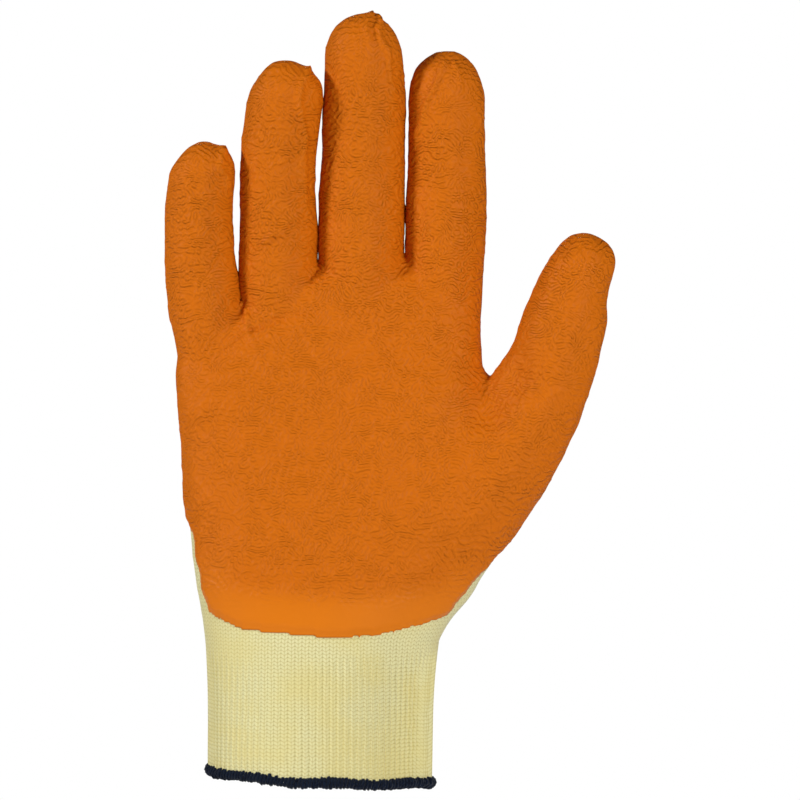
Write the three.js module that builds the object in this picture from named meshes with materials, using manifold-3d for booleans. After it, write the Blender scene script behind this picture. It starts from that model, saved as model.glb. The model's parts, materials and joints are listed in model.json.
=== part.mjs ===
// Right-hand work glove, size 9 (large), on a filled hand form.
// A seamless knitted liner (hand, four finger stalls and a thumb stall), a ribbed
// wrist cuff, an overlocked hem, and one dipped latex film over the palm, the
// finger fronts and tips, and the whole thumb.
//
// Millimetres. +Z runs from the wrist opening to the fingertips, the palm faces -Y
// and the thumb points to +X. The origin is the middle of the wrist opening.
import * as THREE from "three";
import { mergeVertices } from "three/addons/utils/BufferGeometryUtils.js";
import Module from "manifold-3d";

// Walls and clearances
const knitWall = 1.4;
const latexWall = 0.9;
const filmGap = 0.3; // between the knit and the latex film
const seamGap = 0.3; // between knitted pieces

// Wrist cuff and hem
const hemHeight = 4;
const hemThickness = 4;
const cuffLength = 41.5;
const cuffHalfWidth = 35.2;
const cuffHalfDepth = 23;
const ribPitch = 2.4;
const ribHeight = 0.5;

// Hand body
const palmHalfWidth = 47.5;
const palmHalfDepth = 22.5;
const palmLength = 122; // from the cuff to the crotch of the middle finger
const littleDrop = 22; // how much lower the little finger's side ends
const bareBackFrom = 5; // the film ends this far behind the middle of the hand

// Fingers, knit outside. root, low, high and tip tell where the centreline stands
// across the hand at its foot, one and two thirds of the way up and at the fingertip;
// they and the width are shares of palmHalfWidth. length, from the crotch to the tip, and
// curl, how far the tip comes forward, are shares of palmLength.
const fingerRoot = 30; // how far a finger's tube starts below its crotch
const tipWrap = 13; // the film covers the back of a fingertip this far down
const seamRise = 1.5; // a stall starts this far above its crotch
const fingers = [
  { name: "little", root: -0.726, low: -0.771, high: -0.832, tip: -0.737, length: 0.434, width: 0.425, curl: 0.098 },
  { name: "ring", root: -0.282, low: -0.293, high: -0.292, tip: -0.203, length: 0.533, width: 0.472, curl: 0.131 },
  { name: "middle", root: 0.276, low: 0.276, high: 0.291, tip: 0.284, length: 0.644, width: 0.516, curl: 0.123 },
  { name: "index", root: 0.827, low: 0.838, high: 0.85, tip: 0.844, length: 0.549, width: 0.484, curl: 0.098 },
];
const fingerDepthShare = 0.9; // front to back, as a share of the width

// Thumb
const thumbRootX = 22;
const thumbRootZ = 15; // above the cuff
const thumbReach = 64; // root to tip, to the side
const thumbRise = 116; // root to tip, upwards
const thumbForward = 20; // root to tip, towards the palm side
const thumbHalfWidth = 18.8;
const thumbHalfDepth = 16.5;

// Facets
const bodySides = 28;
const fingerSides = 14;
const hemSides = 8;
const hemSteps = 48;
const ringFacets = 32; // the cuff's smooth inside

// Levels worked out from the sizes
const cuffLow = hemHeight + seamGap;
const cuffHigh = cuffLow + cuffLength;
const bodyLow = cuffHigh + seamGap;
const crotch = bodyLow + palmLength;
const ribCount = Math.round(
  (Math.PI * (cuffHalfWidth + cuffHalfDepth)) / ribPitch,
);
const filmInside = filmGap;
const filmOutside = filmGap + latexWall;

// Sections of the hand body. up is a share of palmLength; left and right are shares
// of palmHalfWidth; front and back are shares of palmHalfDepth; lean is how far the side
// towards the thumb comes forward, a share of thumbForward; drop is the share of
// littleDrop at that height; cap is 1 where a thicker form also stands higher; square
// is 2 for an oval section and more for one with flatter sides.
const bodySections = [
  { up: 0.0, left: 0.765, right: 0.785, front: 1.0, back: 0.98, lean: 0, drop: 0, cap: 0, square: 2.2 },
  { up: 0.065, left: 0.785, right: 0.87, front: 1.0, back: 0.95, lean: 0, drop: 0, cap: 0, square: 2.2 },
  { up: 0.14, left: 0.823, right: 1.0, front: 0.99, back: 0.91, lean: 0.05, drop: 0, cap: 0, square: 2.3 },
  { up: 0.25, left: 0.86, right: 1.17, front: 0.95, back: 0.84, lean: 0.2, drop: 0.03, cap: 0, square: 2.3 },
  { up: 0.4, left: 0.903, right: 1.37, front: 0.87, back: 0.76, lean: 0.42, drop: 0.15, cap: 0, square: 2.3 },
  { up: 0.56, left: 0.922, right: 1.42, front: 0.77, back: 0.69, lean: 0.6, drop: 0.38, cap: 0, square: 2.4 },
  { up: 0.72, left: 0.952, right: 1.065, front: 0.66, back: 0.64, lean: 0.35, drop: 0.63, cap: 0, square: 2.8 },
  { up: 0.86, left: 0.966, right: 1.05, front: 0.55, back: 0.56, lean: 0.1, drop: 0.85, cap: 0.1, square: 3.4 },
  { up: 0.955, left: 0.935, right: 1.02, front: 0.44, back: 0.45, lean: 0, drop: 0.96, cap: 0.7, square: 4 },
  { up: 1.0, left: 0.88, right: 0.95, front: 0.14, back: 0.16, lean: 0, drop: 1, cap: 1, square: 5 },
];
const wristSquareness = 2.2;
const dropFrom = 5; // the crotch line falls away to the little finger from here
const dropSpan = 50;
const leanFrom = 4; // the hand comes forward to the thumb from here
const leanSpan = 54;

// Straight part of a finger, from its root to where the round tip starts. along is a
// share of that part; wide and deep are shares of the finger's width and depth.
const fingerSections = [
  { along: 0.0, wide: 0.82, deep: 0.8 },
  { along: 0.22, wide: 0.98, deep: 1.05 },
  { along: 0.42, wide: 1.0, deep: 1.04 },
  { along: 0.62, wide: 0.98, deep: 0.97 },
  { along: 0.82, wide: 0.98, deep: 0.94 },
  { along: 1.0, wide: 0.94, deep: 0.88 },
];
const tipAngles = [30, 60]; // degrees round the tip's dome, from its pole

// Thumb, from inside the heel of the hand to its tip. out, up and forward are shares
// of the thumb's reach, rise and forward; wide and deep of its half width and depth.
const thumbSections = [
  { out: 0.0, up: 0.0, forward: 0.0, wide: 0.86, deep: 0.82 },
  { out: 0.187, up: 0.124, forward: 0.15, wide: 0.94, deep: 0.95 },
  { out: 0.37, up: 0.249, forward: 0.32, wide: 0.96, deep: 0.97 },
  { out: 0.562, up: 0.396, forward: 0.5, wide: 0.9, deep: 0.93 },
  { out: 0.712, up: 0.534, forward: 0.63, wide: 0.8, deep: 0.85 },
  { out: 0.807, up: 0.646, forward: 0.73, wide: 0.715, deep: 0.77 },
  { out: 0.878, up: 0.766, forward: 0.82, wide: 0.64, deep: 0.69 },
  { out: 0.95, up: 0.904, forward: 0.93, wide: 0.55, deep: 0.61 },
];
const thumbTipRadius = 10.4;
const thumbSeam = 0.6; // the stall starts at this share of the centreline

// The film's edge in side view: up is a share of palmLength, behind is millimetres
// behind the middle of the hand, so the dip line climbs from the wrist to the sides.
const dipLine = [
  { up: 0.022, behind: -24 },
  { up: 0.045, behind: -18.5 },
  { up: 0.075, behind: -12 },
  { up: 0.115, behind: -6.5 },
  { up: 0.18, behind: -1.5 },
  { up: 0.26, behind: 2 },
  { up: 0.4, behind: bareBackFrom },
  { up: 1.05, behind: bareBackFrom },
];

const far = 3 * palmLength; // past the glove on every side
const wasm = await Module();
wasm.setup();

function toSolid(geometry) {
  const plain = geometry.clone();
  plain.deleteAttribute("normal");
  plain.deleteAttribute("uv");
  const merged = mergeVertices(plain, 1e-4);
  return new wasm.Manifold(
    new wasm.Mesh({
      numProp: 3,
      vertProperties: merged.attributes.position.array,
      triVerts: new Uint32Array(merged.index.array),
    }),
  );
}

function toGeometry(solid) {
  const mesh = solid.getMesh();
  const geometry = new THREE.BufferGeometry();
  const positions = new THREE.BufferAttribute(mesh.vertProperties, 3);
  geometry.setAttribute("position", positions);
  geometry.setIndex(new THREE.BufferAttribute(mesh.triVerts, 1));
  return geometry;
}

const union = (solids) => solids.reduce((all, next) => all.add(next));

// A closed body through rings of points, each ring counter-clockwise seen from the
// end of the loft, and with an even number of points.
function loft(rings) {
  const count = rings[0].length;
  const positions = rings.flat().flatMap((p) => [p.x, p.y, p.z]);
  const faces = [];
  for (let ring = 0; ring + 1 < rings.length; ring += 1) {
    for (let i = 0; i < count; i += 1) {
      const j = (i + 1) % count;
      const low = ring * count;
      const high = low + count;
      faces.push(low + i, low + j, high + j, low + i, high + j, high + i);
    }
  }
  // Each end is closed by rungs between a point and its mirror across the ring.
  for (const [ring, flip] of [[0, true], [rings.length - 1, false]]) {
    const close = (a, b, c) => {
      const corners = [a, b, c].map((i) => ring * count + (i % count));
      faces.push(...(flip ? corners.reverse() : corners));
    };
    for (let i = 0; i < count / 2; i += 1) {
      if (i + 1 !== count - i - 1) close(i, i + 1, count - i - 1);
      if (i !== 0) close(i, count - i - 1, count - i);
    }
  }
  const geometry = new THREE.BufferGeometry();
  geometry.setAttribute(
    "position",
    new THREE.Float32BufferAttribute(positions, 3),
  );
  geometry.setIndex(faces);
  return toSolid(geometry);
}

// A share of 1 or -1 raised to a power with its sign kept, for rounded rectangles.
const signedPower = (value, power) =>
  Math.sign(value) * Math.abs(value) ** power;

function roundedPoint(angle, squareness) {
  const power = 2 / squareness;
  return {
    x: signedPower(Math.cos(angle), power),
    y: signedPower(Math.sin(angle), power),
  };
}

const mix = (a, b, share) => a + (b - a) * share;
const smooth = (share) => {
  const t = THREE.MathUtils.clamp(share, 0, 1);
  return t * t * (3 - 2 * t);
};

// The height of the crotch line above or below the middle finger's, at a place x.
const crotchFall = (x) => littleDrop * smooth((dropFrom - x) / dropSpan);

// The hand body, thicker by grow than the knit's outside.
function bodySolid(grow) {
  const rings = bodySections.map((row) => {
    const left = row.left * palmHalfWidth + grow;
    const right = row.right * palmHalfWidth + grow;
    const front = row.front * palmHalfDepth + grow;
    const back = row.back * palmHalfDepth + grow;
    const height = bodyLow + row.up * palmLength + row.cap * grow;
    return Array.from({ length: bodySides }, (_, i) => {
      const p = roundedPoint((2 * Math.PI * i) / bodySides, row.square);
      const x = (right - left) / 2 + (p.x * (right + left)) / 2;
      const forward = row.lean * thumbForward * smooth((x - leanFrom) / leanSpan);
      const y = p.y * (p.y < 0 ? front : back) - forward;
      return new THREE.Vector3(x, y, height - row.drop * crotchFall(x));
    });
  });
  if (grow < 0) {
    // A cavity runs on out of the wrist end.
    const mouth = rings[0].map((p) => p.clone().setZ(p.z - seamGap - 1));
    rings.unshift(mouth);
  }
  return loft(rings);
}

// A finger's width, its lowest and highest levels and the level of its crotch.
function fingerPlace(finger) {
  const x = finger.low * palmHalfWidth;
  const width = finger.width * palmHalfWidth;
  const base = crotch - crotchFall(x + (x < 0 ? width / 2 : 0));
  const high = base + finger.length * palmLength;
  return { base, low: base - fingerRoot, high, width };
}

// A smooth curve through four evenly spaced values, at a share of the way.
function throughFour([a, b, c, d], share) {
  const u = 3 * share;
  const early = (b * u * (u - 2) * (u - 3)) / 2 - (a * (u - 1) * (u - 2) * (u - 3)) / 6;
  const late = (d * u * (u - 1) * (u - 2)) / 6 - (c * u * (u - 1) * (u - 3)) / 2;
  return early + late;
}

// A finger's centreline and its directions at a share of the way from root to tip.
function fingerFrame(finger, share) {
  const place = fingerPlace(finger);
  const across = [finger.root, finger.low, finger.high, finger.tip];
  const at = (t) =>
    new THREE.Vector3(
      palmHalfWidth * throughFour(across, t),
      -finger.curl * palmLength * t * t,
      mix(place.low, place.high, t),
    );
  const step = 0.01;
  const along = at(share + step).sub(at(share - step)).normalize();
  const side = new THREE.Vector3(1, 0, 0);
  side.addScaledVector(along, -side.dot(along)).normalize();
  const back = new THREE.Vector3().crossVectors(along, side);
  return { centre: at(share), along, side, back };
}

function ovalRing(frame, halfWidth, halfDepth, sides) {
  return Array.from({ length: sides }, (_, i) => {
    const angle = (2 * Math.PI * i) / sides;
    return frame.centre
      .clone()
      .addScaledVector(frame.side, halfWidth * Math.cos(angle))
      .addScaledVector(frame.back, halfDepth * Math.sin(angle));
  });
}

// The dome that closes a tube: rings that shrink from radius to a small pole.
function domeRings(frame, radius, halfWidth, halfDepth, sides) {
  const angles = [...tipAngles].reverse().concat(8);
  return angles.map((degrees) => {
    const turn = THREE.MathUtils.degToRad(degrees);
    const rise = radius * Math.cos(turn);
    const shrink = Math.sin(turn);
    const centre = frame.centre.clone().addScaledVector(frame.along, rise);
    const moved = { ...frame, centre };
    return ovalRing(moved, halfWidth * shrink, halfDepth * shrink, sides);
  });
}

function fingerSolid(finger, grow) {
  const place = fingerPlace(finger);
  const halfWidth = place.width / 2;
  const halfDepth = halfWidth * fingerDepthShare;
  const last = fingerSections[fingerSections.length - 1];
  const radius = halfWidth * last.wide;
  const domeShare = 1 - radius / (place.high - place.low);
  const rings = fingerSections.map((row) =>
    ovalRing(
      fingerFrame(finger, row.along * domeShare),
      row.wide * halfWidth + grow,
      row.deep * halfDepth + grow,
      fingerSides,
    ),
  );
  const dome = domeRings(
    fingerFrame(finger, domeShare),
    radius + grow,
    radius + grow,
    last.deep * halfDepth + grow,
    fingerSides,
  );
  return loft([...rings, ...dome]);
}

// The thumb's centreline, a smooth curve through its table.
const thumbCurve = new THREE.CatmullRomCurve3(
  thumbSections.map(
    (row) =>
      new THREE.Vector3(
        thumbRootX + row.out * thumbReach,
        -row.forward * thumbForward,
        bodyLow + thumbRootZ + row.up * thumbRise,
      ),
  ),
);

function thumbFrame(share) {
  const along = thumbCurve.getTangent(share);
  const back = new THREE.Vector3(0, 1, 0);
  back.addScaledVector(along, -back.dot(along)).normalize();
  const side = new THREE.Vector3().crossVectors(back, along);
  return { centre: thumbCurve.getPoint(share), along, side, back };
}

function thumbSolid(grow) {
  const lastIndex = thumbSections.length - 1;
  const rings = thumbSections.map((row, i) =>
    ovalRing(
      thumbFrame(i / lastIndex),
      row.wide * thumbHalfWidth + grow,
      row.deep * thumbHalfDepth + grow,
      fingerSides,
    ),
  );
  const last = thumbSections[lastIndex];
  const dome = domeRings(
    thumbFrame(1),
    thumbTipRadius + grow,
    last.wide * thumbHalfWidth + grow,
    last.deep * thumbHalfDepth + grow,
    fingerSides,
  );
  return loft([...rings, ...dome]);
}

// Half of space as a large box: all that lies beyond a point in a direction.
function beyond(point, direction) {
  const box = new THREE.BoxGeometry(far, far, far);
  box.translate(0, 0, far / 2);
  const up = new THREE.Vector3(0, 0, 1);
  const turn = new THREE.Quaternion().setFromUnitVectors(up, direction);
  box.applyQuaternion(turn);
  box.translate(point.x, point.y, point.z);
  return toSolid(box);
}

// The plane where a stall is knitted onto the hand: a point and a direction.
function fingerSeam(finger) {
  const z = fingerPlace(finger).base + seamRise;
  return { point: new THREE.Vector3(0, 0, z), along: new THREE.Vector3(0, 0, 1) };
}

function thumbSeamPlane() {
  const frame = thumbFrame(thumbSeam);
  return { point: frame.centre, along: frame.along };
}

// A tube above and below its seam, seamGap apart.
function splitTube(tube, seam) {
  const raised = seam.point.clone().addScaledVector(seam.along, seamGap);
  return {
    stall: tube.intersect(beyond(raised, seam.along)),
    root: tube.subtract(beyond(seam.point, seam.along)),
  };
}

// The whole hand with its fingers, thicker by grow than the knit's outside.
function handSolid(grow) {
  return union([
    bodySolid(grow),
    thumbSolid(grow),
    ...fingers.map((finger) => fingerSolid(finger, grow)),
  ]);
}

function cuffOutline(share, ribbed, grow) {
  const steps = ribbed ? ribCount * 2 : ringFacets;
  // The cuff grows from its own section to the hand body's first section.
  const first = bodySections[0];
  const left = mix(cuffHalfWidth, first.left * palmHalfWidth, share);
  const right = mix(cuffHalfWidth, first.right * palmHalfWidth, share);
  const front = mix(cuffHalfDepth, first.front * palmHalfDepth, share);
  const back = mix(cuffHalfDepth, first.back * palmHalfDepth, share);
  return Array.from({ length: steps }, (_, i) => {
    const p = roundedPoint((2 * Math.PI * i) / steps, wristSquareness);
    const inward = ribbed && i % 2 ? -ribHeight : 0;
    const offset = grow + inward;
    return {
      x: (right - left) / 2 + p.x * ((right + left) / 2 + offset),
      y: p.y * ((p.y < 0 ? front : back) + offset),
    };
  });
}

// The cuff waists in a little between the hem and the hand.
const cuffRows = [
  { up: 0, towardsHand: 0 },
  { up: 0.65, towardsHand: 0.15 },
  { up: 1, towardsHand: 1 },
];

function cuffSolid() {
  const ringsOf = (ribbed, grow, spill) =>
    cuffRows.map((row) => {
      const z = cuffLow + row.up * cuffLength + (2 * row.up - 1) * spill;
      return cuffOutline(row.towardsHand, ribbed, grow).map(
        (p) => new THREE.Vector3(p.x, p.y, z),
      );
    });
  const outside = loft(ringsOf(true, 0, 0));
  const inside = loft(ringsOf(false, -knitWall - ribHeight, 1));
  return outside.subtract(inside);
}

// The overlocked edge: an oval rope of thread round the cuff's lower end.
function hemSolid() {
  const middle = (knitWall + ribHeight) / 2;
  const squareness = wristSquareness;
  const rings = Array.from({ length: hemSteps }, (_, i) => {
    const p = roundedPoint((2 * Math.PI * i) / hemSteps, squareness);
    return Array.from({ length: hemSides }, (_, k) => {
      const angle = (2 * Math.PI * k) / hemSides;
      const out = (hemThickness / 2) * Math.cos(angle) - middle;
      const z = hemHeight / 2 + (hemHeight / 2) * Math.sin(angle);
      return new THREE.Vector3(
        p.x * (cuffHalfWidth + out),
        p.y * (cuffHalfDepth + out),
        z,
      );
    });
  });
  const positions = rings.flat().flatMap((p) => [p.x, p.y, p.z]);
  const faces = [];
  for (let i = 0; i < hemSteps; i += 1) {
    for (let k = 0; k < hemSides; k += 1) {
      const here = i * hemSides;
      const next = ((i + 1) % hemSteps) * hemSides;
      const m = (k + 1) % hemSides;
      faces.push(here + k, next + k, next + m, here + k, next + m, here + m);
    }
  }
  const geometry = new THREE.BufferGeometry();
  geometry.setAttribute(
    "position",
    new THREE.Float32BufferAttribute(positions, 3),
  );
  geometry.setIndex(faces);
  return toSolid(geometry);
}

// An outline in side view (y, z), run right across the glove from x low to x high.
function acrossGlove(outline, low, high) {
  const shape = new THREE.Shape(outline.map(([y, z]) => new THREE.Vector2(y, z)));
  const geometry = new THREE.ExtrudeGeometry(shape, {
    depth: high - low,
    bevelEnabled: false,
  });
  // The outline's own x, y and depth become the glove's y, z and x.
  const axes = new THREE.Matrix4().makeBasis(
    new THREE.Vector3(0, 1, 0),
    new THREE.Vector3(0, 0, 1),
    new THREE.Vector3(1, 0, 0),
  );
  geometry.applyMatrix4(axes);
  geometry.translate(low, 0, 0);
  return toSolid(geometry);
}

// The part of the back that the film leaves bare, and the wrist below the dip line.
function bareHand() {
  const dip = dipLine.map((row) => [row.behind, bodyLow + row.up * palmLength]);
  const low = bodyLow - 2 * cuffLength;
  const [lowest] = dip;
  const outline = [
    [-far / 2, low],
    [far / 2, low],
    [far / 2, dip[dip.length - 1][1]],
    ...[...dip].reverse(),
    [-far / 2, lowest[1]],
  ];
  const thumbBack = thumbRootX + 0.52 * thumbReach;
  const besideThumb = bodyLow + 0.24 * palmLength;
  const all = acrossGlove(outline, -far / 2, far / 2);
  const point = new THREE.Vector3(thumbBack, 0, besideThumb);
  const right = beyond(point, new THREE.Vector3(1, 0, 0));
  const up = beyond(point, new THREE.Vector3(0, 0, 1));
  return all.subtract(right.intersect(up));
}

// The bare back of one finger, from the hand to tipWrap short of the tip.
function bareFinger(finger) {
  const place = fingerPlace(finger);
  const reach = place.high - place.low;
  const start = (fingerRoot + 2 * seamRise) / reach;
  const end = 1 - tipWrap / reach;
  const steps = 5;
  const halfWidth = place.width / 2 + filmOutside + filmGap;
  const rings = Array.from({ length: steps + 1 }, (_, i) => {
    const frame = fingerFrame(finger, mix(start, end, i / steps));
    const corner = (side, back) =>
      frame.centre
        .clone()
        .addScaledVector(frame.side, side * halfWidth)
        .addScaledVector(frame.back, back);
    return [
      corner(-1, bareBackFrom),
      corner(1, bareBackFrom),
      corner(1, place.width),
      corner(-1, place.width),
    ];
  });
  return loft(rings);
}

function filmSolid() {
  const skin = handSolid(filmOutside).subtract(handSolid(filmInside));
  return skin.subtract(union([bareHand(), ...fingers.map(bareFinger)]));
}

// Finishes of the real glove
const knitYarn = new THREE.MeshStandardMaterial({
  color: 0xd9cd91,
  roughness: 0.95,
  metalness: 0,
});
const latex = new THREE.MeshStandardMaterial({
  color: 0xd06e18,
  roughness: 0.55,
  metalness: 0,
});
const hemYarn = new THREE.MeshStandardMaterial({
  color: 0x141d2a,
  roughness: 0.95,
  metalness: 0,
});

function named(name, solid, material) {
  const mesh = new THREE.Mesh(toGeometry(solid), material);
  mesh.name = name;
  return mesh;
}

const glove = new THREE.Group();
const cavity = handSolid(-knitWall);
const bodyPieces = [bodySolid(0)];

for (const finger of fingers) {
  const parts = splitTube(fingerSolid(finger, 0), fingerSeam(finger));
  bodyPieces.push(parts.root);
  const stall = parts.stall.subtract(cavity);
  glove.add(named(finger.name + "_finger", stall, knitYarn));
}
const thumbParts = splitTube(thumbSolid(0), thumbSeamPlane());
bodyPieces.push(thumbParts.root);
glove.add(named("thumb", thumbParts.stall.subtract(cavity), knitYarn));
glove.add(named("knit_hand", union(bodyPieces).subtract(cavity), knitYarn));
glove.add(named("latex_film", filmSolid(), latex));
glove.add(named("rib_cuff", cuffSolid(), knitYarn));
glove.add(named("overlock_hem", hemSolid(), hemYarn));

export default glove;
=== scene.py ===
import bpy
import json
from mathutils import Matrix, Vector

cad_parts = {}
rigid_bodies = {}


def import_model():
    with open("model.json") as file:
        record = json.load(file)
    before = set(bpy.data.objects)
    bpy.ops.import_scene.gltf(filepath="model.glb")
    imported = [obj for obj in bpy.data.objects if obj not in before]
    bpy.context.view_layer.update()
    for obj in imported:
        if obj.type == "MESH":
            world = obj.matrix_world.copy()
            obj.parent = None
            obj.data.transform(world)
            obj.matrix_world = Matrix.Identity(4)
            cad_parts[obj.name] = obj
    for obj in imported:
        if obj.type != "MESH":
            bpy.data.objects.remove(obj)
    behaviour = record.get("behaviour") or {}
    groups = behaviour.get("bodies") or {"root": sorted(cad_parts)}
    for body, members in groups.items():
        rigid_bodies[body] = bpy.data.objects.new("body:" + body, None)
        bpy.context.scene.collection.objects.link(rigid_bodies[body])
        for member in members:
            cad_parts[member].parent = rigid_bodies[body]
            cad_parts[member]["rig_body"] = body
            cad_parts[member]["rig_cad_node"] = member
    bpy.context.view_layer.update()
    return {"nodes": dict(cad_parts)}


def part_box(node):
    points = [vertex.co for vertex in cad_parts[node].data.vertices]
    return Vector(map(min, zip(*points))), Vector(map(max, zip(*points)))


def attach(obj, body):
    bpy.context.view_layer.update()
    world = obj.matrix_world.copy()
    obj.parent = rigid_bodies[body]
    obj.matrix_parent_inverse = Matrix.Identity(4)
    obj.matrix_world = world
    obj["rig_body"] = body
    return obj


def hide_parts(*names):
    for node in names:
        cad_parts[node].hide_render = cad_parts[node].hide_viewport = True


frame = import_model()

import json
import math

import bpy
import numpy as np
from mathutils import Vector, noise
from mathutils.bvhtree import BVHTree

mm = 0.001

# Camera, floor and light
# The glove stands upright with its palm square to a long lens. A pale floor lies well
# below it, and soft round lights stand to the left, to the right and behind.
picture_width = 256 * mm
picture_middle = Vector((25.3 * mm, -10 * mm, 124.2 * mm))
camera_distance = 1.2
floor_level = -0.12
floor_radius = 0.95
floor_colour = (0.86, 0.86, 0.85, 1)
white = (1, 1, 1, 1)
sky_strength = 0.085

bpy.ops.object.select_all(action="DESELECT")
camera_place = picture_middle - Vector((0, camera_distance, 0))
bpy.ops.object.camera_add(location=camera_place, rotation=(math.pi / 2, 0, 0))
camera = bpy.context.object
camera.data.sensor_width = 36
camera.data.lens = camera.data.sensor_width * camera_distance / picture_width
bpy.context.scene.camera = camera

bpy.ops.mesh.primitive_circle_add(
    vertices=96,
    radius=floor_radius,
    fill_type="NGON",
    location=(picture_middle.x, 0, floor_level),
)
floor = bpy.context.object
floor.name = "floor"
paper = bpy.data.materials.new("floor_paper")
paper.use_nodes = True
paper_shader = paper.node_tree.nodes["Principled BSDF"]
paper_shader.inputs["Base Color"].default_value = floor_colour
paper_shader.inputs["Roughness"].default_value = 0.9
floor.data.materials.append(paper)


def soft_light(name, place, size, power):
    """A round light that faces the middle of the picture."""
    bpy.ops.object.light_add(type="AREA", location=place)
    light = bpy.context.object
    light.name = name
    light.data.shape = "DISK"
    light.data.size = size
    light.data.energy = power
    towards = picture_middle - Vector(place)
    light.rotation_euler = towards.to_track_quat("-Z", "Y").to_euler()
    return light


soft_light("key_light", place=(-1.14, -0.45, 0.6), size=0.25, power=10.8)
soft_light("fill_light", place=(0.76, -1.16, 0.41), size=0.6, power=13.3)

# The light behind the glove is kept out of the picture and out of the latex's gloss.
back_light = soft_light("back_light", place=(0, 1.2, 0.7), size=0.5, power=5.5)
back_light.visible_glossy = False
back_light.visible_camera = False

# The sky gives a faint even light, and shows as white paper behind the glove.
world = bpy.data.worlds.new("studio")
bpy.context.scene.world = world
world.use_nodes = True
sky = world.node_tree.nodes
faint_light = sky["Background"]
faint_light.inputs["Color"].default_value = white
faint_light.inputs["Strength"].default_value = sky_strength
paper_white = sky.new("ShaderNodeBackground")
paper_white.inputs["Color"].default_value = white
seen_directly = sky.new("ShaderNodeLightPath")
either = sky.new("ShaderNodeMixShader")
join = world.node_tree.links.new
join(seen_directly.outputs["Is Camera Ray"], either.inputs[0])
join(faint_light.outputs[0], either.inputs[1])
join(paper_white.outputs[0], either.inputs[2])
join(either.outputs[0], sky["World Output"].inputs["Surface"])
bpy.context.scene.view_settings.view_transform = "Standard"

# Liner form
# The liner is one seamless knitted tube with five stalls. Its outer skin is taken from
# the solids, joined into one smooth form, and the knit and the coating follow it.
seam_gap = 0.3 * mm
form_voxel = 1.5 * mm
form_rounding = 11  # passes of smoothing
form_regrowth = 0.3 * mm  # what the smoothing takes off the fingers
rim_slack = 0.1 * mm  # how near a face or point of a rim lies to its place
rim_facing = 0.98  # the least cosine between a rim's face and its way
stall_plug = 3 * mm  # how far a stall's skin runs on into the hand
wrist_plug = 10 * mm
stall_names = ["little_finger", "ring_finger", "middle_finger", "index_finger"]
wrist_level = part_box("knit_hand")[0].z
up = Vector((0, 0, 1))


def select_only(piece):
    bpy.ops.object.select_all(action="DESELECT")
    piece.select_set(True)
    bpy.context.view_layer.objects.active = piece


def edit(piece, select="SELECT"):
    select_only(piece)
    bpy.ops.object.mode_set(mode="EDIT")
    bpy.ops.mesh.select_mode(type="VERT")
    bpy.ops.mesh.select_all(action=select)


def leave_edit():
    bpy.ops.object.mode_set(mode="OBJECT")


def finish_with(piece, kind, **settings):
    """Adds a modifier with these settings and applies it."""
    select_only(piece)
    bpy.ops.object.modifier_add(type=kind)
    modifier = piece.modifiers[-1]
    for key, value in settings.items():
        setattr(modifier, key, value)
    bpy.ops.object.modifier_apply(modifier=modifier.name)


def copy_of(piece, name):
    twin = piece.copy()
    twin.data = piece.data.copy()
    twin.parent = None
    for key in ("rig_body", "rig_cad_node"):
        if key in twin:
            del twin[key]
    twin.name = name
    twin.data.materials.clear()
    bpy.context.collection.objects.link(twin)
    return twin


def outer_skin(name, rims, plug):
    """The outer wall of a hollow solid, closed at its rims, the first run on by plug."""
    skin = copy_of(frame["nodes"][name], name + "_skin")
    edit(skin)
    bpy.ops.mesh.remove_doubles(threshold=0.001 * mm)
    bpy.ops.mesh.select_all(action="DESELECT")
    leave_edit()
    for face in skin.data.polygons:
        face.select = any(
            face.normal.dot(along) > rim_facing
            and abs((face.center - point).dot(along)) < rim_slack
            for point, along in rims
        )
    bpy.ops.object.mode_set(mode="EDIT")
    bpy.ops.mesh.delete(type="FACE")
    bpy.ops.mesh.separate(type="LOOSE")
    leave_edit()
    walls = list(bpy.context.selected_objects)
    outer = max(walls, key=lambda wall: wall.dimensions.length)
    for wall in walls:
        if wall is not outer:
            bpy.data.objects.remove(wall)
    edit(outer, "DESELECT")
    leave_edit()
    point, along = rims[0]
    for vertex in outer.data.vertices:
        vertex.select = abs((vertex.co - point).dot(along)) < rim_slack
    bpy.ops.object.mode_set(mode="EDIT")
    bpy.ops.mesh.extrude_edges_move(TRANSFORM_OT_translate={"value": plug})
    bpy.ops.mesh.select_all(action="SELECT")
    bpy.ops.mesh.fill_holes(sides=0)
    leave_edit()
    return outer


def mesh_points(piece, value="co"):
    points = np.empty(len(piece.data.vertices) * 3)
    piece.data.vertices.foreach_get(value, points)
    return points.reshape(-1, 3)


def mesh_normals(piece):
    return mesh_points(piece, "normal")


def move_points(piece, points):
    piece.data.vertices.foreach_set("co", points.ravel())
    piece.data.update()


# The thumb leans, so its rim is the face that looks most straight back along it.
thumb_solid = frame["nodes"]["thumb"]
thumb_points = mesh_points(thumb_solid)
thumb_middle = np.median(thumb_points[:, 2])
thumb_low = thumb_points[thumb_points[:, 2] < thumb_middle].mean(0)
thumb_high = thumb_points[thumb_points[:, 2] > thumb_middle].mean(0)
thumb_lean = Vector(thumb_high - thumb_low).normalized()
thumb_rim = min(thumb_solid.data.polygons, key=lambda face: face.normal.dot(thumb_lean))
thumb_along = -thumb_rim.normal

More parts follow.
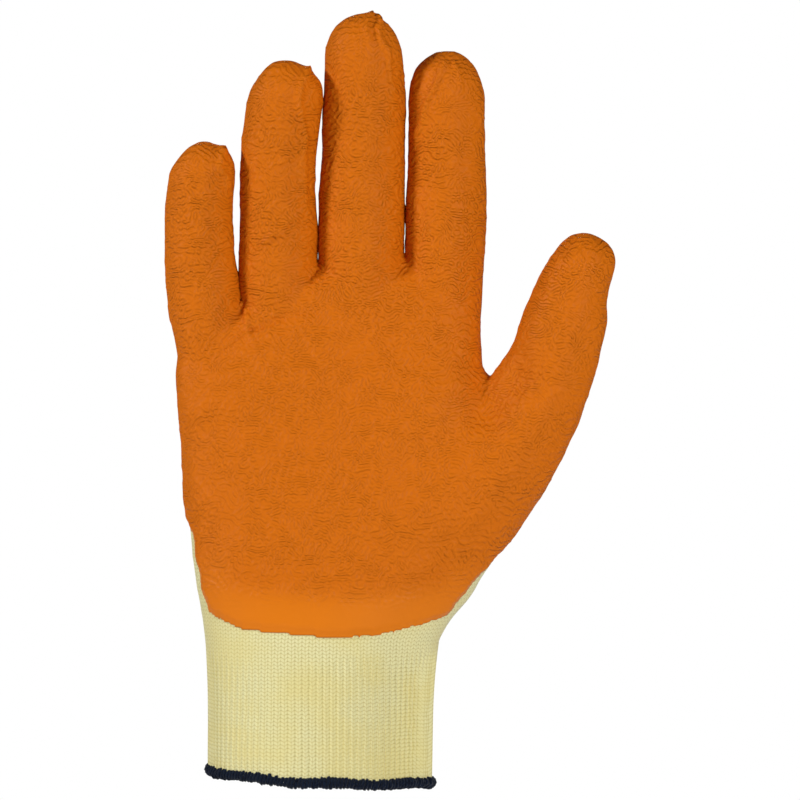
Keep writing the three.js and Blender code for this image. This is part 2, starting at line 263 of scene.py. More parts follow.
hand_rims = [
    (Vector((0, 0, wrist_level)), -up),
    (thumb_rim.center - thumb_along * seam_gap, thumb_along),
]
skins = []
for stall in stall_names:
    foot = Vector((0, 0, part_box(stall)[0].z))
    hand_rims.append((foot - up * seam_gap, up))
    skins.append(outer_skin(stall, [(foot, -up)], -up * stall_plug))
thumb_rims = [(thumb_rim.center, -thumb_along)]
skins.append(outer_skin("thumb", thumb_rims, -thumb_along * stall_plug))
skins.append(outer_skin("knit_hand", hand_rims, -up * wrist_plug))

bpy.ops.object.select_all(action="DESELECT")
for skin in skins:
    skin.select_set(True)
bpy.context.view_layer.objects.active = skins[-1]
bpy.ops.object.join()
form = bpy.context.object
form.name = "liner_form"
finish_with(form, "REMESH", mode="VOXEL", voxel_size=form_voxel)
finish_with(form, "SMOOTH", factor=0.5, iterations=form_rounding)
finish_with(form, "DISPLACE", strength=form_regrowth, mid_level=0)

# The hand's own creases, seen through both layers: points across and up, in millimetres.
hand_creases = [
    {"depth": 4.4, "width": 9, "points": [(61, 130), (49, 119), (36, 109), (22, 101)]},
    {"depth": 0.9, "width": 5, "points": [(-50, 112), (-36, 114), (-20, 118)]},
    {"depth": 0.8, "width": 5, "points": [(-40, 136), (-23, 145), (-10, 150), (6, 152)]},
]


def line_distance(points, line):
    """How far points lie from a bent line seen from the front, and how far along it."""
    ends = np.array(line, dtype=float) * mm
    place = points[:, [0, 2]]
    nearest = np.full(len(points), np.inf)
    along = np.zeros(len(points))
    total = len(ends) - 1
    for k in range(total):
        step = ends[k + 1] - ends[k]
        share = np.clip((place - ends[k]) @ step / (step @ step), 0, 1)
        gap = np.linalg.norm(place - ends[k] - share[:, None] * step, axis=1)
        closer = gap < nearest
        nearest = np.where(closer, gap, nearest)
        along = np.where(closer, (k + share) / total, along)
    return nearest, along


points = mesh_points(form)
uncreased = [Vector(point) for point in points]
normals = mesh_normals(form)
facing = np.clip(-normals[:, 1] * 1.5, 0, 1)  # 1 all over the palm side
for crease in hand_creases:
    gap, along = line_distance(points, crease["points"])
    depth = crease["depth"] * mm * np.exp(-((gap / (crease["width"] * mm)) ** 2))
    points -= normals * (depth * facing * (1 - along**3))[:, None]

# Where the worn glove bulges or tapers past the plain solids: place across and up, the
# outward way, how far, and over what reach, in millimetres.
bulges = [
    ((-49.3, 156.2), (-1, 0), 1.1, 14),
    ((-45.8, 202.6), (-0.8, 0.6), -1.0, 5),
    ((-29.8, 203.5), (0.9, 0.4), 1.0, 5),
    ((-27.2, 164.2), (1, 0), 0.7, 6),
    ((-21.8, 228.2), (-0.8, 0.6), -1.2, 5),
    ((-1, 225), (1, 0.1), 1.5, 7),
    ((-1.6, 210.6), (1, 0), 0.6, 8),
    ((-1.9, 178.6), (1, 0), 0.7, 12),
    ((-25.9, 164.2), (-1, 0), 0.7, 7),
    ((0.6, 210.6), (-1, 0), 0.7, 8),
    ((0.3, 191.4), (-1, 0), 1.1, 10),
    ((0, 173.8), (-1, 0), 0.9, 8),
    ((23.7, 239.4), (0.8, 0.6), -0.7, 6),
    ((26.6, 188.2), (1, 0), 0.3, 10),
    ((27.8, 188.2), (-1, 0), 0.6, 10),
    ((50.9, 229.1), (0.9, 0.4), -0.8, 6),
    ((52.2, 183.4), (1, 0), 0.5, 14),
    ((93.1, 157.8), (1, -0.2), -1.8, 7),
    ((93.4, 172.2), (1, 0.3), 0.6, 5),
    ((74.2, 172.2), (-0.8, 0.6), -1.1, 7),
    ((59.5, 140.2), (-0.7, 0.7), -0.8, 7),
    ((-44.2, 92.2), (-1, 0), 0.6, 14),
    ((-38, 50), (-1, 0), 1.0, 14),
    ((46.1, 60.2), (1, -0.4), 1.2, 8),
    ((53.5, 66), (0.8, -0.6), 0.9, 8),
    ((-41.3, 71), (-1, 0), 0.8, 11),
]
for (x, z), (out, rise), amount, reach in bulges:
    gap = np.hypot(points[:, 0] - x * mm, points[:, 2] - z * mm) / (reach * mm)
    outward = np.clip(1.5 * (normals[:, 0] * out + normals[:, 2] * rise), 0, 1)
    push = amount * mm * np.exp(-(gap**2)) * outward
    points[:, 0] += push * out
    points[:, 2] += push * rise
move_points(form, points)

# Knitted hand
# The liner's hand and stalls are plain knit in thick cream yarn. They show on the back
# of the glove and beside the coating at the wrist.
wale_count = 92  # stitches round the wrist
course = 1.2 * mm  # height of a row of stitches
knit_wall = 1.2 * mm
cuff_half_width = 36.2 * mm
cuff_half_depth = 23 * mm
squareness = 2.2  # of the wrist's section: 2 is an oval
ring_steps = 720  # for what is worked out round the wrist
smooth_angle = 0.9  # faces that meet at more than this stay sharp, in radians
knit_light = (0.79, 0.74, 0.4)
# painted shade for the low places between the stitches' legs and rows
knit_groove_shade = (0.6, 0.52, 0.22)
# painted shade for the small holes between the wales
knit_hole_shade = (0.3, 0.2, 0.06)
knit_patch = (0.74, 0.6, 0.17)
knit_relief = 0.26 * mm


def squared(angle):
    """A point of a rounded oval of half width and half depth 1."""
    power = 2 / squareness
    x = np.sign(np.cos(angle)) * np.abs(np.cos(angle)) ** power
    y = np.sign(np.sin(angle)) * np.abs(np.sin(angle)) ** power
    return x, y


oval_angles = np.linspace(-math.pi, math.pi, ring_steps + 1)
oval_x, oval_y = squared(oval_angles)
oval_steps = np.hypot(
    np.diff(oval_x) * cuff_half_width, np.diff(oval_y) * cuff_half_depth
)
oval_turns = np.concatenate([[0], np.cumsum(oval_steps)]) / oval_steps.sum()


def section_of(points, level, band=1.5 * mm):
    """Left, right, front and back of the form's section at a height."""
    near = points[np.abs(points[:, 2] - level) < band]
    return [near[:, 0].min(), near[:, 0].max(), near[:, 1].min(), near[:, 1].max()]


form_points = mesh_points(form)
levels = np.arange(wrist_level + 2 * mm, wrist_level + 26 * mm, 2 * mm)
sections = np.array([section_of(form_points, level) for level in levels])


def wales(points):
    """How many stitches round the wrist a point lies, counted from the left edge."""
    left, right, front, back = (
        np.interp(points[:, 2], levels, sections[:, k]) for k in range(4)
    )
    across = (points[:, 0] - (left + right) / 2) / (right - left) * 2
    deep = (points[:, 1] - (front + back) / 2) / (back - front) * 2
    power = squareness / 2
    angle = np.arctan2(
        np.sign(deep) * np.abs(deep) ** power, np.sign(across) * np.abs(across) ** power
    )
    return np.interp(angle, oval_angles, oval_turns) * wale_count


def knit_map(piece):
    """A UV map in stitches across and rows up, for the knit pattern."""
    points = mesh_points(piece)
    across = wales(points)
    up_rows = points[:, 2] / course
    layer = piece.data.uv_layers.new(name="stitches")
    corners = np.empty(len(piece.data.loops), dtype=int)
    piece.data.loops.foreach_get("vertex_index", corners)
    corner_across = across[corners]

    # A face that spans the left edge, where the count starts again, counts on past it.
    sizes = np.empty(len(piece.data.polygons), dtype=int)
    piece.data.polygons.foreach_get("loop_total", sizes)
    starts = np.concatenate([[0], np.cumsum(sizes)[:-1]])
    high = np.maximum.reduceat(corner_across, starts)
    low = np.minimum.reduceat(corner_across, starts)
    spans = np.repeat(high - low > wale_count / 2, sizes)
    corner_across = np.where(
        spans & (corner_across < wale_count / 2), corner_across + wale_count, corner_across
    )
    uv = np.stack([corner_across, up_rows[corners]], 1)
    layer.data.foreach_set("uv", uv.ravel().astype(np.float32))


class Nodes:
    """Builds a material's nodes, one short call for each."""

    def __init__(self, name):
        self.material = bpy.data.materials.new(name)
        self.material.use_nodes = True
        self.tree = self.material.node_tree
        self.shader = self.tree.nodes["Principled BSDF"]

    def add(self, kind, inputs=(), **settings):
        node = self.tree.nodes.new("ShaderNode" + kind)
        for key, value in settings.items():
            setattr(node, key, value)
        for key, value in dict(inputs).items():
            if isinstance(value, bpy.types.NodeSocket):
                self.tree.links.new(value, node.inputs[key])
            else:
                node.inputs[key].default_value = value
        return node

    def math(self, operation, *values):
        return self.add("Math", enumerate(values), operation=operation).outputs[0]

    def vector(self, operation, *values, output="Vector"):
        node = self.add("VectorMath", enumerate(values), operation=operation)
        return node.outputs[output]

    def noise(self, vector, scale, detail=2.0, roughness=0.5, output="Fac"):
        inputs = {"Vector": vector, "Scale": scale, "Detail": detail, "Roughness": roughness}
        return self.add("TexNoise", inputs).outputs[output]

    def range(self, value, low, high, new_low=0.0, new_high=1.0, smooth=True):
        inputs = {0: value, 1: low, 2: high, 3: new_low, 4: new_high}
        kind = "SMOOTHSTEP" if smooth else "LINEAR"
        return self.add("MapRange", inputs, interpolation_type=kind).outputs[0]

    def mix(self, share, first, second):
        def colour(value):
            return (*value, 1) if isinstance(value, tuple) else value

        inputs = {0: share, 6: colour(first), 7: colour(second)}
        return self.add("Mix", inputs, data_type="RGBA").outputs[2]

    def join(self, output, socket):
        self.tree.links.new(output, self.shader.inputs[socket])

    def set(self, numbers):
        """Sets numbers on the shader's own sockets."""
        for socket, number in numbers.items():
            self.shader.inputs[socket].default_value = number


def knit_material():
    nodes = Nodes("cream_knit")
    stitches = nodes.add("UVMap", uv_map="stitches").outputs[0]
    place = nodes.add("TexCoord").outputs["Object"]

    # Each stitch strays a little from its place.
    wander = nodes.noise(place, 350, 2, output="Color")
    wander = nodes.vector("SUBTRACT", wander, (0.5, 0.5, 0.5))
    wander = nodes.vector("MULTIPLY", wander, (0.35, 0.5, 0))
    moved = nodes.vector("ADD", stitches, wander)
    split = nodes.add("SeparateXYZ", {0: moved})

    # A stitch is a V: its two legs rise outwards from the middle of the wale.
    aside = nodes.math("FRACT", split.outputs[0])
    aside = nodes.math("SUBTRACT", aside, 0.5)
    aside = nodes.math("ABSOLUTE", aside)
    aside = nodes.math("MULTIPLY", aside, 2.0)
    row = nodes.math("MULTIPLY_ADD", aside, -0.6, split.outputs[1])
    row = nodes.math("FRACT", row)
    row = nodes.math("MULTIPLY_ADD", row, 2.0, -1.0)
    row = nodes.math("MULTIPLY", row, row)
    row = nodes.math("SUBTRACT", 1.0, row)
    leg = nodes.math("MULTIPLY_ADD", aside, 2.0, -1.0)
    leg = nodes.math("MULTIPLY", leg, leg)
    leg = nodes.math("SUBTRACT", 1.0, leg)
    leg = nodes.math("POWER", leg, 0.5)
    row = nodes.math("POWER", row, 0.6)
    height = nodes.math("MULTIPLY", row, leg)

    fibres = nodes.noise(place, 4200, 3, 0.7)
    height = nodes.math("MULTIPLY_ADD", fibres, 0.3, height)
    patches = nodes.noise(place, 60, 3)
    # Where a stitch lies low, between its legs and between rows, its cream is darkened as
    # painted shade.
    depth = nodes.range(height, 0.15, 1.0)
    colour = nodes.mix(depth, knit_groove_shade, knit_light)

    # Small holes lie between the wales, where one row meets the next; they are painted near
    # black as the shade inside them.
    hole = nodes.math("MULTIPLY", aside, nodes.math("SUBTRACT", 1.0, row))
    hole = nodes.range(hole, 0.4, 0.85, 0.0, 0.75)
    colour = nodes.mix(hole, colour, knit_hole_shade)
    tone = nodes.range(patches, 0.35, 0.7, 0.0, 0.35)
    colour = nodes.mix(tone, colour, knit_patch)
    bump = nodes.add("Bump", {"Strength": 0.5, "Distance": knit_relief, "Height": height})
    nodes.join(colour, "Base Color")
    nodes.join(bump.outputs[0], "Normal")
    nodes.set({"Roughness": 0.9, "Specular IOR Level": 0.2})
    nodes.set({"Sheen Weight": 0.25, "Sheen Roughness": 0.5})
    return nodes.material


cream_knit = knit_material()
hand = copy_of(form, "knitted_hand")
edit(hand)
bpy.ops.mesh.bisect(
    plane_co=(0, 0, wrist_level), plane_no=(0, 0, -1), clear_outer=True
)
leave_edit()
finish_with(hand, "SOLIDIFY", thickness=knit_wall, offset=-1)
knit_map(hand)
hand.data.materials.append(cream_knit)
select_only(hand)
bpy.ops.object.shade_smooth_by_angle(angle=smooth_angle)
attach(hand, "root")
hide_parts("knit_hand", "thumb", *stall_names)

# Ribbed cuff
# The wrist is knitted in one with the hand, as elastic rib: its wales stand up as close
# ridges that run the whole height of the cuff and fade into the plain knit of the hand.
cuff_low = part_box("rib_cuff")[0].z
hem_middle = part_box("overlock_hem")[1].z / 2
hem_raise = 1.1 * mm
hem_tilt = 1.75 * mm
rib_rise = 0.3 * mm
rib_fade_from = 0.8  # the ribs fade out from this share of the cuff's height
cuff_shift = Vector((-0.35 * mm, 0, 0))
cuff_wall = 1.4 * mm
cuff_slack = 0.5 * mm  # how far the loose edge wavers in and out
steps_per_wale = 6
cuff_rows = 37
form_tree = BVHTree.FromObject(form, bpy.context.evaluated_depsgraph_get())


def wrist_point(turn):
    """The plain cuff's place and the form's, both level, at a share of a turn."""
    angle = np.interp(turn, oval_turns, oval_angles)
    x, y = squared(angle)
    outward = Vector((x * cuff_half_width, y * cuff_half_depth, 0))
    start = Vector((0, 0, wrist_level + 0.3 * mm))
    hit = form_tree.ray_cast(start + outward * 2, -outward.normalized())[0]
    return outward + cuff_shift, Vector((hit.x, hit.y, 0))


bpy.ops.object.select_all(action="DESELECT")
bpy.ops.mesh.primitive_cylinder_add(
    vertices=wale_count * steps_per_wale,
    radius=cuff_half_width,
    depth=wrist_level - cuff_low,
    end_fill_type="NOTHING",
    calc_uvs=False,
    location=(0, 0, (cuff_low + wrist_level) / 2),
)
cuff = bpy.context.object
cuff.name = "ribbed_cuff"
bpy.ops.object.transform_apply()
edit(cuff, "DESELECT")
bpy.ops.mesh.select_mode(type="EDGE")
leave_edit()
for edge in cuff.data.edges:
    ends = [cuff.data.vertices[k].co for k in edge.vertices]
    edge.select = abs(ends[0].z - ends[1].z) > mm
bpy.ops.object.mode_set(mode="EDIT")
bpy.ops.mesh.subdivide(number_cuts=cuff_rows - 1, quadcorner="STRAIGHT_CUT")
leave_edit()


def hem_wave(turn):
    """The level of the cuff's cut edge round the wrist: higher on the left side."""
    angle = 2 * math.pi * turn
    level = hem_middle + hem_raise + hem_tilt * np.cos(angle)
    level += 0.35 * mm * np.sin(3 * angle + 0.6) + 0.25 * mm * np.sin(7 * angle + 2)
    return level


ring_turns = np.linspace(0, 1, ring_steps + 1)
ring = [wrist_point(turn) for turn in ring_turns]
plain_ring = np.array([pair[0] for pair in ring])
form_ring = np.array([pair[1] for pair in ring])
points = mesh_points(cuff)
turn = (np.arctan2(points[:, 1], points[:, 0]) / math.pi + 1) / 2
share = np.clip((points[:, 2] - cuff_low) / (wrist_level - cuff_low), 0, 1)
to_hand = share**3
rib_fade = 1 - np.clip((share - rib_fade_from) / (1 - rib_fade_from), 0, 1)
sideways = np.cos(2 * math.pi * turn)  # 1 at the left edge, -1 at the right one
deeper = 0.75 + 0.5 * sideways**2 - 0.35 * sideways
rib = rib_rise * deeper * rib_fade * (np.cos(2 * math.pi * wale_count * turn) - 1)
out = np.empty_like(points)
for axis in range(2):
    plain = np.interp(turn, ring_turns, plain_ring[:, axis])
    joined = np.interp(turn, ring_turns, form_ring[:, axis])
    out[:, axis] = plain + (joined - plain) * to_hand
radius = np.hypot(out[:, 0], out[:, 1])
slack = np.array([noise.noise(Vector(p) * 45) for p in points]) * cuff_slack * (1 - share)
out[:, :2] *= (1 + (rib + slack) / radius)[:, None]
drop = (hem_wave(turn) - cuff_low) * (1 - share) ** 2
out[:, 2] = points[:, 2] + drop
move_points(cuff, out)
finish_with(cuff, "SOLIDIFY", thickness=cuff_wall, offset=-1)
knit_map(cuff)
cuff.data.materials.append(cream_knit)
select_only(cuff)
bpy.ops.object.shade_smooth_by_angle(angle=smooth_angle)
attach(cuff, "root")
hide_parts("rib_cuff")

# Latex coating
# The liner is dipped in latex that covers the palm, the thumb, and the fingers with
# their tips, and leaves the back bare. As it cures the skin crinkles all over, apart
# from a smooth band along the dip line at the wrist.
film_rise = 1.15 * mm  # how far the skin stands off the liner
film_lip = 0.35 * mm  # the same at its edge
film_wall = 1.5 * mm  # at the most
film_reach = (1.6 * mm, 2.2 * mm)  # past the plain solid, at the wrist and above it
wrist_zone = (70 * mm, 95 * mm)  # the heights between which the wrist's edge ends
deep_inside = 2 * mm  # no point counts as further inside or outside than this
edge_jag = 0.7 * mm
edge_rounding = 16  # passes that round the edge on the back
edge_raise = 1.4 * mm  # the dip line lies this much above the reach
smooth_band = 14 * mm
smooth_zone = (52 * mm, 80 * mm)  # the heights between which the band ends
edge_reach = 20 * mm  # how far in from its edge the film is measured
latex_orange = (0.64, 0.148, 0.003)
# painted shade for the valleys between the crinkles
latex_valley_shade = (0.42, 0.07, 0.001)
latex_smooth = (0.73, 0.19, 0.008)
crinkle_size = 2.0 * mm
crinkle_relief = 0.52 * mm
crinkle_patch = 170  # a finer patchwork of crinkles for larger numbers
finger_roots = (130 * mm, 175 * mm)  # the heights over which the crinkles get deeper

solid_film = copy_of(frame["nodes"]["latex_film"], "film_solid")
film_tree = BVHTree.FromObject(solid_film, bpy.context.evaluated_depsgraph_get())
bpy.data.objects.remove(solid_film)


def edge_ends(piece):
    """The two vertices of each edge, in two columns."""
    ends = np.empty(len(piece.data.edges) * 2, dtype=int)
    piece.data.edges.foreach_get("vertices", ends)
    return ends.reshape(-1, 2)


# How far inside the dipped region each point of the form lies. Above the wrist this is
# evened out among neighbours, which rounds the edge off.
film = copy_of(form, "latex_coating")
heights = np.array([point.z for point in uncreased])
above = np.clip((heights - wrist_zone[0]) / (wrist_zone[1] - wrist_zone[0]), 0, 1)
gaps = np.array([
    film_tree.find_nearest(point - up * edge_raise * (1 - share))[3]
    for point, share in zip(uncreased, above)
])
inside = film_reach[0] + (film_reach[1] - film_reach[0]) * above - gaps
inside = np.clip(inside, -deep_inside, deep_inside)
starts, ends = edge_ends(film).T
neighbours = np.bincount(starts, minlength=len(inside))
neighbours += np.bincount(ends, minlength=len(inside))
for _ in range(edge_rounding):
    around = np.bincount(starts, inside[ends], len(inside))
    around += np.bincount(ends, inside[starts], len(inside))
    inside += (around / neighbours - inside) * above
film.data.attributes.new("inside", "FLOAT", "POINT").data.foreach_set("value", inside)
finish_with(film, "SUBSURF", levels=1, render_levels=1)
points = mesh_points(film)
inside = np.empty(len(points))
film.data.attributes["inside"].data.foreach_get("value", inside)
film.data.attributes.remove(film.data.attributes["inside"])


def ease(values, low, high):
    share = np.clip((values - low) / (high - low), 0, 1)
    return share * share * (3 - 2 * share)


def soft_noise(points, size, seed, count=14):
    """Smooth random swells about size apart, between about -1 and 1."""
    chance = np.random.default_rng(seed)
    ways = chance.normal(size=(count, 3))
    ways *= (2 * math.pi / size * chance.uniform(0.6, 1.2, count) / 2)[:, None]
    swells = np.cos(points @ ways.T + chance.uniform(0, 2 * math.pi, count))
    return swells.sum(1) / math.sqrt(count)


# On both flanks the dip line runs up in front of the outline, so that a strip of knit
# shows beside it: height, and how far in from the outline, in millimetres.
flank_lines = {
    -1: [(48, 3.5), (58, 2.7), (66, 2.3), (74, 1.6), (82, 0.5), (90, -2), (100, -30)],
    1: [(48, 5), (58, 4), (66, 2.7), (72, 1.5), (76, 0.5), (84, -2), (94, -30)],
}
flank_width = 30 * mm  # further in than this, a point is well inside the line


def ahead_of_flank(points, side, line):
    """How far inside the dip line of one flank points lie, seen from the front."""
    heights, limits = np.array(line, dtype=float).T * mm
    steps = np.arange(heights[0], heights[-1], 2 * mm)
    outermost = []
    for step in steps:
        near = points[np.abs(points[:, 2] - step) < mm]
        outermost.append(near[np.argmax(near[:, 0] * side)])
    outermost = np.array(outermost)
    gap = (np.interp(points[:, 2], steps, outermost[:, 0]) - points[:, 0]) * side
    behind = points[:, 1] > np.interp(points[:, 2], steps, outermost[:, 1])
    ahead = np.where(behind, -gap, gap) - np.interp(points[:, 2], heights, limits)
    return np.where(gap > flank_width, deep_inside, ahead)


for side, line in flank_lines.items():
    inside = np.minimum(inside, ahead_of_flank(points, side, line))

# The dip line follows the stitches, so it runs in small teeth.
stitch = wales(points)
tooth = np.abs(stitch - np.floor(stitch) - 0.5) - 0.25
scattered = np.sin(np.floor(stitch) * 12.9898) * 43758.5453  # as good as random
jag = 1.1 * tooth + 0.6 * (scattered - np.floor(scattered) - 0.5)
jag += 0.5 * soft_noise(points, 9 * mm, 4)
inside += edge_jag * jag

# What lies outside the dip line is cut away.
outside = [
    np.mean([inside[v] for v in face.vertices]) <= 0 for face in film.data.polygons
]
edit(film, "DESELECT")
bpy.ops.mesh.select_mode(type="FACE")
leave_edit()
film.data.polygons.foreach_set("select", outside)
bpy.ops.object.mode_set(mode="EDIT")
bpy.ops.mesh.delete(type="FACE")
leave_edit()
edit(film, "DESELECT")
bpy.ops.mesh.select_non_manifold()
bpy.ops.mesh.vertices_smooth(factor=0.5, repeat=2)
leave_edit()


def edge_distance(piece, reach):
    """Each vertex's distance from the open edge along the surface, up to reach."""
    mesh = piece.data
    ends = edge_ends(piece)
    points = mesh_points(piece)
    lengths = np.linalg.norm(points[ends[:, 0]] - points[ends[:, 1]], axis=1)
    uses = np.zeros(len(mesh.edges), dtype=int)
    loop_edges = np.empty(len(mesh.loops), dtype=int)
    mesh.loops.foreach_get("edge_index", loop_edges)
    np.add.at(uses, loop_edges, 1)
    distance = np.full(len(points), reach)
    distance[ends[uses == 1].ravel()] = 0
    shortest = 0.4 * mm
    for _ in range(int(reach / shortest)):
        onward = distance[ends[:, 0]] + lengths
        np.minimum.at(distance, ends[:, 1], onward)
        onward = distance[ends[:, 1]] + lengths
        np.minimum.at(distance, ends[:, 0], onward)
    return distance


from_edge = edge_distance(film, edge_reach)
points = mesh_points(film)
normals = mesh_normals(film)
low_edge = 1 - ease(points[:, 2], *smooth_zone)
crinkle = 1 - low_edge * (1 - ease(from_edge, smooth_band * 0.6, smooth_band * 1.3))
crinkle *= ease(from_edge, 0, 2.5 * mm)

# Ridges where the coating closed over the fingertips and gathered: points across and up
# in millimetres, each ridge's height and width, and how it fades to its far end.
gathers = [
    {"high": 1.43, "wide": 0.8, "points": [(-3.8, 231.5), (-5.1, 225.3), (-7, 220.2),
     (-6.4, 213.1), (-5.4, 208), (-6.7, 200.3), (-5.8, 189.4), (-5.4, 183)]},
    {"high": 1.33, "wide": 0.7, "points": [(16, 249), (15, 242.6), (15.7, 236)]},
    {"high": 1.52, "wide": 0.75, "points": [(16.3, 249), (17.6, 245.1), (18.6, 238.1),
     (20.8, 233), (22.1, 227.2), (22.7, 223.4), (21.8, 219)]},
    {"high": 1.14, "wide": 0.7, "points": [(39.4, 231.5), (38.7, 227.8), (35.5, 221.4),
     (33.9, 215.7), (31.7, 209.3), (30.4, 203)]},
    {"high": 0.95, "wide": 0.7, "points": [(41.5, 231.5), (43, 228), (44, 222)]},
    {"high": 1.33, "wide": 0.75, "points": [(-32.3, 207), (-31.4, 203.5), (-32.5, 198),
     (-30.5, 195), (-31, 190)]},
    {"high": 0.86, "wide": 0.8, "points": [(-18.2, 174.1), (-13.1, 177.9), (-7.4, 183)]},
    {"high": -0.86, "wide": 0.9, "points": [(-22.7, 145.6), (-18.9, 147.8), (-9.9, 151),
     (1.6, 152.3)]},
    {"high": 0.76, "wide": 0.8, "points": [(-22.7, 145.6), (-30.4, 141.4), (-38.7, 136.3)]},
    {"high": 0.95, "wide": 0.7, "points": [(-23, 152), (-22.7, 145.6), (-19, 140)]},
]

# Small tips of latex that the last drops left on the fingertips: height and width, place
# across and up, depth, and which way they point, in millimetres.
nub_depth = 3 * mm
nubs = [
    {"high": 2.6, "wide": 0.9, "place": (15.8, 247.6), "deep": -14.5, "lean": (0.1, 1)},
    {"high": 1.6, "wide": 0.8, "place": (-3.8, 230.8), "deep": -16, "lean": (0.6, 0.8)},
    {"high": 1.1, "wide": 0.8, "place": (-31.8, 205.6), "deep": -12, "lean": (0.5, 0.9)},
]

wander = np.stack([soft_noise(points, 5 * mm, seed) for seed in (11, 12, 13)], 1)
wandered = points + wander * 0.5 * mm
facing = np.clip(0.3 - normals[:, 1] * 2, 0, 1)
gathered = np.zeros(len(points))
for gather in gathers:
    gap, along = line_distance(wandered, gather["points"])
    shape = np.exp(-((gap / (gather["wide"] * mm)) ** 2))
    gathered += gather["high"] * mm * shape * (1 - along**4) * facing
peaks = np.zeros_like(points)
for nub in nubs:
    x, z = nub["place"]
    out, up_share = nub["lean"]
    gap = np.hypot(points[:, 0] - x * mm, points[:, 2] - z * mm) / (nub["wide"] * mm)
    near = np.abs(points[:, 1] - nub["deep"] * mm) < nub_depth
    peak = nub["high"] * mm * np.exp(-gap) * near
    peaks += peak[:, None] * np.array([out, 0, up_share])

# Low folds that run across the hand, and a slow swell.
folds = 1 - np.abs(soft_noise(points * (0.6, 0.6, 1), 4 * mm, 5)) * 2.2
folds = np.clip(folds, 0, 1) * 0.14 * mm
swell = soft_noise(points, 14 * mm, 6) * 0.16 * mm
lift = film_lip + (film_rise - film_lip) * ease(from_edge, 0, 3 * mm)
lift += (folds + swell + gathered) * crinkle
move_points(film, points + normals * lift[:, None] + peaks)
attribute = film.data.attributes.new("crinkle", "FLOAT", "POINT")
attribute.data.foreach_set("value", crinkle.astype(np.float32))

# The wall follows the lift, so that the skin's inner side lies just off the liner. The
# inner side is out of sight, so it is thinned out.
wall_clearance = 0.08 * mm
wall_steps = 20
inner_share = 0.57
thin = film.vertex_groups.new(name="thickness")
shares = np.clip((lift - wall_clearance) / film_wall, 0.05, 1)
for k in range(wall_steps):
    members = np.nonzero(np.floor(shares * wall_steps).clip(0, wall_steps - 1) == k)[0]
    thin.add(members.tolist(), (k + 0.5) / wall_steps, "REPLACE")
film.vertex_groups.new(name="inner")
finish_with(
    film,
    "SOLIDIFY",
    thickness=film_wall,
    offset=-1,
    vertex_group="thickness",
    shell_vertex_group="inner",
)
finish_with(
    film, "DECIMATE", ratio=inner_share, vertex_group="inner", vertex_group_factor=10
)


def latex_material():
    nodes = Nodes("crinkled_latex")
    place = nodes.add("TexCoord").outputs["Object"]
    strength = nodes.add("Attribute", attribute_name="crinkle").outputs["Fac"]

    def centred(scale, shift):
        """Smooth noise in three channels, each either side of 0."""
        moved = nodes.vector("ADD", place, shift)
        colour = nodes.noise(moved, scale, 0.0, output="Color")
        return nodes.vector("SUBTRACT", colour, (0.5, 0.5, 0.5))

    # The ridges don't run straight, because the places that they are drawn by are bent.
    bend = nodes.vector("MULTIPLY", centred(190, (0, 0, 0)), (3 * mm, 3 * mm, 3 * mm))
    bent = nodes.vector("ADD", place, bend)
    strengths = [centred(crinkle_patch, (k, 0, 0)) for k in (1, 2)]
    first, second = (nodes.add("SeparateXYZ", {0: both}).outputs for both in strengths)

    def packets(way, crest_share, trough_share):
        """Waves along one way whose strength and place wander, so they break up."""
        turn = tuple(2 * math.pi / crinkle_size * share for share in way)
        wave = nodes.vector("DOT_PRODUCT", bent, turn, output="Value")
        crest = nodes.math("MULTIPLY", crest_share, nodes.math("COSINE", wave))
        return nodes.math("MULTIPLY_ADD", trough_share, nodes.math("SINE", wave), crest)

    waves = packets((0, 0, 1), first[0], first[1])
    slanted = packets((0.8, 0.2, 0.6), first[2], second[0])
    slanted = nodes.math("ADD", slanted, packets((-0.8, 0.2, 0.6), second[1], second[2]))
    waves = nodes.math("MULTIPLY_ADD", slanted, 0.8, waves)

    # Evened out, so that the ridges run on instead of dying away.
    loudness = [nodes.vector("LENGTH", both, output="Value") for both in strengths]
    loudness = nodes.math("ADD", nodes.math("ADD", *loudness), 0.03)
    waves = nodes.math("DIVIDE", waves, loudness)
    crest = nodes.range(waves, -0.3, 0.6, smooth=False)
    patches = nodes.noise(place, 75, 1)
    patches = nodes.range(patches, 0.3, 0.6, 0.55, 1.0)
    height = nodes.math("MULTIPLY", crest, patches)
    height = nodes.math("MULTIPLY", height, strength)
    level = nodes.add("SeparateXYZ", {0: place}).outputs[2]
    deeper = nodes.range(level, *finger_roots, 0.8, 1.0)
    height = nodes.math("MULTIPLY", height, deeper)
    bump = nodes.add("Bump", {"Strength": 1.0, "Distance": crinkle_relief, "Height": height})
    nodes.join(bump.outputs[0], "Normal")
    # The valleys between the crinkles are darkened a little as painted shade.
    valley = nodes.range(height, 0.0, 0.5, 0.08, 0.0)
    wrinkled = nodes.mix(valley, latex_orange, latex_valley_shade)
    nodes.join(nodes.mix(strength, latex_smooth, wrinkled), "Base Color")
    nodes.join(nodes.range(strength, 0.2, 0.9, 0.36, 0.55), "Roughness")
    nodes.set({"Specular IOR Level": 0.09})
    return nodes.material


film.data.materials.append(latex_material())
select_only(film)
bpy.ops.object.shade_smooth()
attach(film, "root")
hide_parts("latex_film")

# Overlocked hem
# The cuff's cut edge is bound with fluffy navy yarn, wound over the edge by an overlock
# machine, so it lies as a lumpy cord of close loops that wanders up and down a little.
loop_count = 170
loop_radius = 1.25 * mm
yarn_radius = 0.66 * mm
fluff_rise = 0.4 * mm
fluff_size = 0.5 * mm
hem_inset = cuff_wall / 2
hem_look_ahead = 0.002  # the share of a turn over which the hem's way is taken
loop_steps = 12
navy = (0.006, 0.014, 0.036)
# painted shade for the low places between the fibres
navy_fibre_shade = (0.002, 0.004, 0.011)


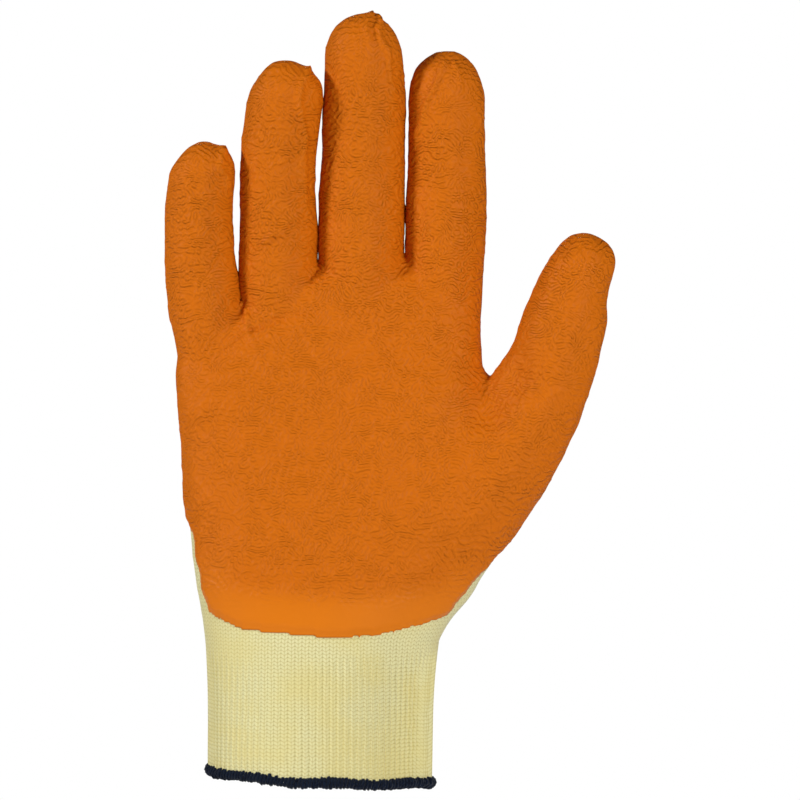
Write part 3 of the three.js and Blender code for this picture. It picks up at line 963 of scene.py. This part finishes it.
def hem_path(turn):
    """The middle of the hem at a share of a turn round the wrist."""
    angle = np.interp(turn % 1, oval_turns, oval_angles)
    x, y = squared(angle)
    across = x * (cuff_half_width - hem_inset) + cuff_shift.x
    deep = y * (cuff_half_depth - hem_inset)
    return Vector((across, deep, float(hem_wave(turn % 1))))


# The middle of the yarn, which winds round the edge while it goes round the wrist.
total = loop_count * loop_steps
centres = []
for k in range(total):
    turn = k / total
    here = hem_path(turn)
    ahead = hem_path(turn + hem_look_ahead)
    along = (ahead - here).normalized()
    outward = along.cross(up).normalized()
    upward = outward.cross(along)
    angle = 2 * math.pi * k / loop_steps
    loop = k // loop_steps
    size = 1 + 0.35 * noise.noise(Vector((loop * 0.9, 2.2, 0.3)))
    size += 0.25 * noise.noise(Vector((k * 0.21, 5.1, 1.3)))
    reach = loop_radius * size
    centres.append(here + (outward * math.cos(angle) + upward * math.sin(angle)) * reach)

bpy.ops.object.select_all(action="DESELECT")
bpy.ops.curve.primitive_nurbs_path_add()
hem = bpy.context.object
hem.name = "overlocked_hem"
hem.data.splines.clear()
yarn = hem.data.splines.new("POLY")
yarn.points.add(total - 1)
for point, centre in zip(yarn.points, centres):
    point.co = (*centre, 1)
yarn.use_cyclic_u = True
hem.data.bevel_depth = yarn_radius
hem.data.bevel_resolution = 1
bpy.ops.object.convert(target="MESH")
hem = bpy.context.object
edit(hem)
bpy.ops.mesh.normals_make_consistent(inside=False)
leave_edit()
points = mesh_points(hem)
fluff = [noise.noise(Vector(point) / fluff_size) for point in points]
move_points(hem, points + mesh_normals(hem) * fluff_rise * np.array(fluff)[:, None])


def navy_material():
    nodes = Nodes("navy_yarn")
    place = nodes.add("TexCoord").outputs["Object"]
    fibres = nodes.noise(place, 1800, 4, 0.75)
    # Where the fibres' bump lies low the navy is darkened as painted shade.
    colour = nodes.mix(nodes.range(fibres, 0.35, 0.7), navy_fibre_shade, navy)
    bump = nodes.add("Bump", {"Strength": 0.9, "Distance": 0.3 * mm, "Height": fibres})
    nodes.join(colour, "Base Color")
    nodes.join(bump.outputs[0], "Normal")
    nodes.set({"Roughness": 0.95, "Specular IOR Level": 0.15, "Sheen Weight": 0.08})
    return nodes.material


hem.data.materials.append(navy_material())
select_only(hem)
bpy.ops.object.shade_smooth()
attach(hem, "root")
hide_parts("overlock_hem")

bpy.data.objects.remove(form)
